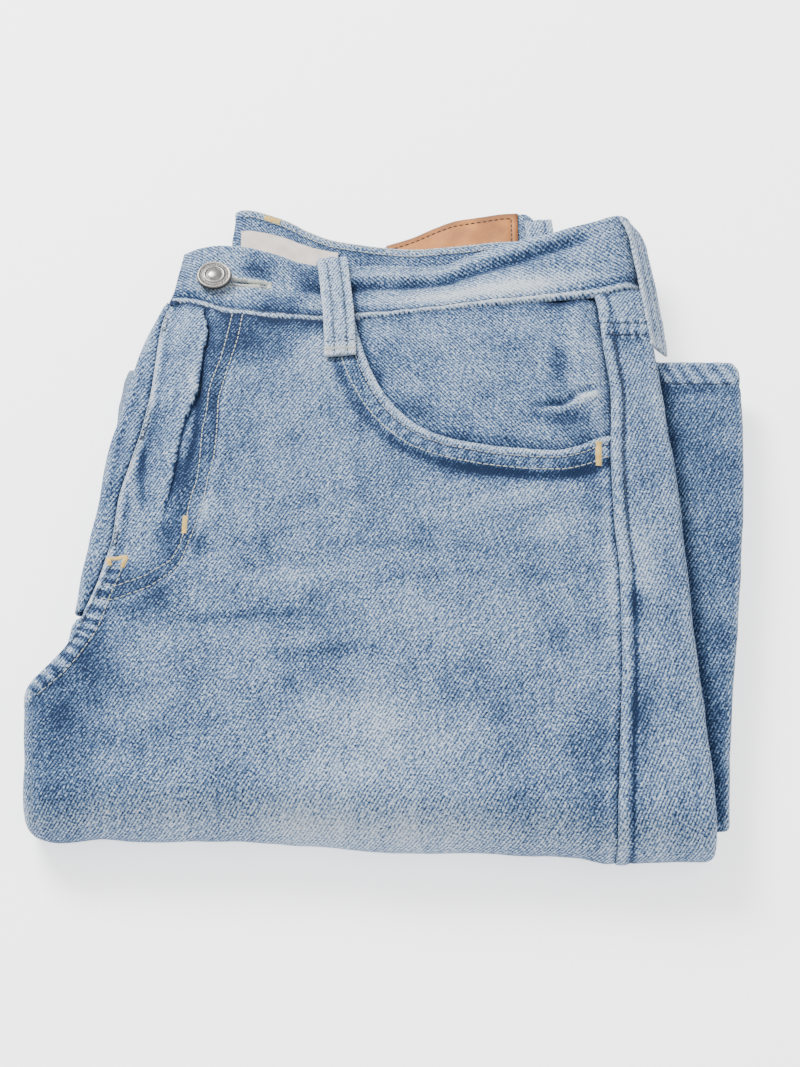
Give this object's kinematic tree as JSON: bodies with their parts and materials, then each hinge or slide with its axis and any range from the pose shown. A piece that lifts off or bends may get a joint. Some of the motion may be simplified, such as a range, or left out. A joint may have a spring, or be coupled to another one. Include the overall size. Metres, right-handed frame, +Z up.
{
  "type": "folded jeans",
  "caption": "A pair of denim jeans folded in half and then down the legs into a flat stack, front panel and pocket on top.",
  "frame": {"origin": "centre of the bounding box in plan, on the surface that the stack lies on", "axes": "+Z up through the stack, +Y towards the waistband, +X towards the side seam and the strip of lower leg"},
  "size_m": [0.3126, 0.3546, 0.0366],
  "materials": {
    "denim_front": "faded blue twill denim",
    "denim_back": "faded blue twill denim",
    "denim_yoke": "faded blue twill denim",
    "denim_right_front": "faded blue twill denim",
    "denim_facing": "blue twill denim",
    "denim_leg": "faded blue twill denim",
    "denim_layers": "blue twill denim in shade",
    "denim_waistband": "blue twill denim",
    "denim_loops": "worn blue twill denim",
    "denim_side_loop": "worn blue twill denim",
    "denim_back_loop": "worn blue twill denim",
    "button_metal": "antique silver shank button",
    "patch_leather": "tan leather, bare",
    "label_tape": "cream woven tape, bare"
  },
  "bodies": {
    "root": {"left_front": "denim_front", "left_back": "denim_back", "back_yoke": "denim_yoke", "right_front": "denim_right_front", "pocket_facing": "denim_facing", "lower_leg": "denim_leg", "folded_layers": "denim_layers", "waistband": "denim_waistband", "belt_loop_front": "denim_loops", "belt_loop_side": "denim_side_loop", "belt_loop_back": "denim_back_loop", "button": "button_metal", "leather_patch": "patch_leather", "size_label": "label_tape"}
  },
  "joints": []
}
